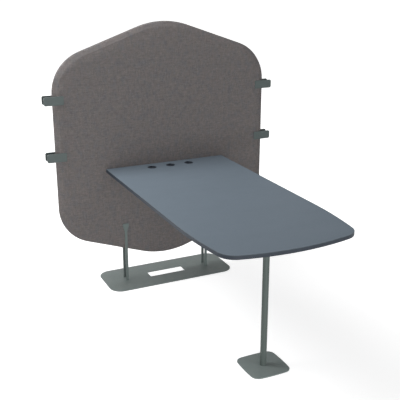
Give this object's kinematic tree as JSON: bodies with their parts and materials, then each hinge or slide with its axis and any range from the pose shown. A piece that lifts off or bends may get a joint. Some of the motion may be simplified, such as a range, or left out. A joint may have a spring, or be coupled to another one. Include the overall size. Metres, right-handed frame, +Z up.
{
  "type": "desk with privacy screen",
  "caption": "Long desk top with a bowed front on one round leg, butted to an upholstered hexagonal privacy screen on flat posts and a slotted floor plate.",
  "frame": {"origin": "on the floor, in the middle of the overall bounding box", "axes": "+X along the screen to the right as seen from the desk's front edge, +Y from the desk's front edge towards the screen, +Z up"},
  "size_m": [1.426, 1.6812, 1.5545],
  "materials": {
    "painted_steel": "matt green-grey powder coat",
    "plain_steel": "zinc plated",
    "dark_plastic": "matt, dark blue-grey",
    "upholstery": "warm grey woven melange",
    "core_board": "raw board",
    "desk_surface": "board with a matt blue-grey facing",
    "edge_band": "matt, darker blue-grey",
    "pad_plastic": "moulded plastic, dark grey"
  },
  "bodies": {
    "desk_and_screen": {"base_floor_pads": "pad_plastic", "base_plate": "painted_steel", "bracket_inserts": "plain_steel", "bracket_screws": "plain_steel", "desk_edge_band": "edge_band", "desk_screws": "plain_steel", "desk_top": "desk_surface", "foot_floor_pads": "pad_plastic", "foot_plate": "painted_steel", "foot_screw": "plain_steel", "front_left_post": "painted_steel", "front_right_post": "painted_steel", "left_desk_bracket": "painted_steel", "left_outlet_liner": "dark_plastic", "leg_plug": "plain_steel", "leg_top_plate": "painted_steel", "leg_tube": "painted_steel", "link_screws": "painted_steel", "link_sleeves": "plain_steel", "lower_left_front_link_plate": "painted_steel", "lower_left_rear_link_plate": "painted_steel", "lower_right_front_link_plate": "painted_steel", "lower_right_rear_link_plate": "painted_steel", "middle_outlet_liner": "dark_plastic", "post_screws": "painted_steel", "post_sleeves": "plain_steel", "rear_left_post": "painted_steel", "rear_right_post": "painted_steel", "right_desk_bracket": "painted_steel", "right_outlet_liner": "dark_plastic", "screen_core_board": "core_board", "screen_front_padding": "upholstery", "screen_rear_padding": "upholstery", "upper_left_front_link_plate": "painted_steel", "upper_left_rear_link_plate": "painted_steel", "upper_right_front_link_plate": "painted_steel", "upper_right_rear_link_plate": "painted_steel"},
    "left_cover": {"left_outlet_cover": "dark_plastic"},
    "middle_cover": {"middle_outlet_cover": "dark_plastic"},
    "right_cover": {"right_outlet_cover": "dark_plastic"}
  },
  "joints": [
    {"name": "left_cover_turn", "type": "hinge", "parent": "desk_and_screen", "child": "left_cover", "pos_m": [-0.118, 0.5838, 0.73], "axis": [0, 0, 1], "continuous": true},
    {"name": "middle_cover_turn", "type": "hinge", "parent": "desk_and_screen", "child": "middle_cover", "pos_m": [0, 0.5838, 0.73], "axis": [0, 0, 1], "continuous": true},
    {"name": "right_cover_turn", "type": "hinge", "parent": "desk_and_screen", "child": "right_cover", "pos_m": [0.118, 0.5838, 0.73], "axis": [0, 0, 1], "continuous": true}
  ]
}
